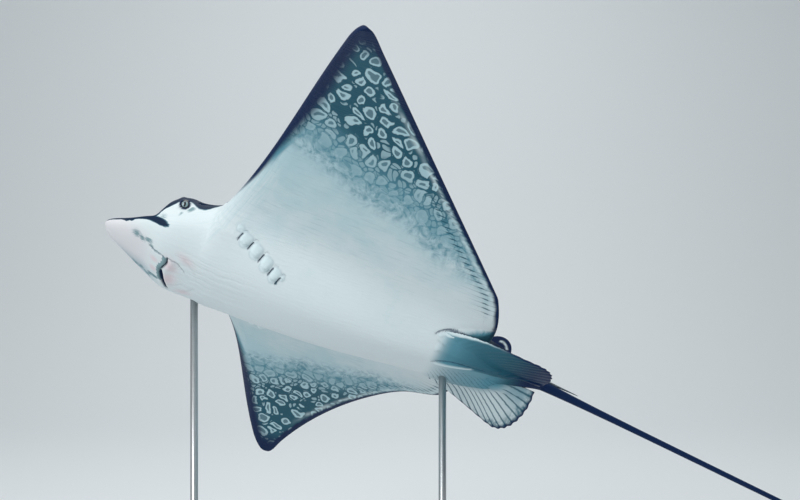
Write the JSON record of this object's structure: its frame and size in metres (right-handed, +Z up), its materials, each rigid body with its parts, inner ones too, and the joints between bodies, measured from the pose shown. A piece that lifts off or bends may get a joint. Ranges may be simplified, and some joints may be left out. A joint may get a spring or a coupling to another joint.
{
  "type": "spotted eagle ray model",
  "caption": "Life-size still model of a spotted eagle ray in a banked glide, with a duck-bill snout, pointed wings and a long whip tail, held on rods over a flat base.",
  "frame": {"origin": "middle of the underside of the stand's base, on the floor", "axes": "+Z up, +X from the ray's snout towards its tail, +Y towards the side on which the lower wing hangs"},
  "size_m": [2.7627, 1.4494, 1.2934],
  "materials": {
    "skin": "smooth wet skin: white below, dark with pale rings towards the wing tips and on the back",
    "sting": "bone-like spine, satin",
    "eye": "clear wet eye, polished",
    "stand_rod": "brushed along the rod",
    "stand_base": "satin powder coat"
  },
  "bodies": {
    "root": {"snout_lobe": "skin", "head": "skin", "trunk": "skin", "pectoral_fin_right": "skin", "pectoral_fin_left": "skin", "pelvic_fin_right": "skin", "pelvic_fin_left": "skin", "dorsal_fin": "skin", "tail_1": "skin", "tail_2": "skin", "tail_3": "skin", "tail_4": "skin", "tail_5": "skin", "tail_sting_long": "sting", "tail_sting_short": "sting", "eye_right": "eye", "eye_left": "eye", "stand_rod_front": "stand_rod", "stand_rod_rear": "stand_rod", "stand_base": "stand_base"}
  },
  "joints": []
}
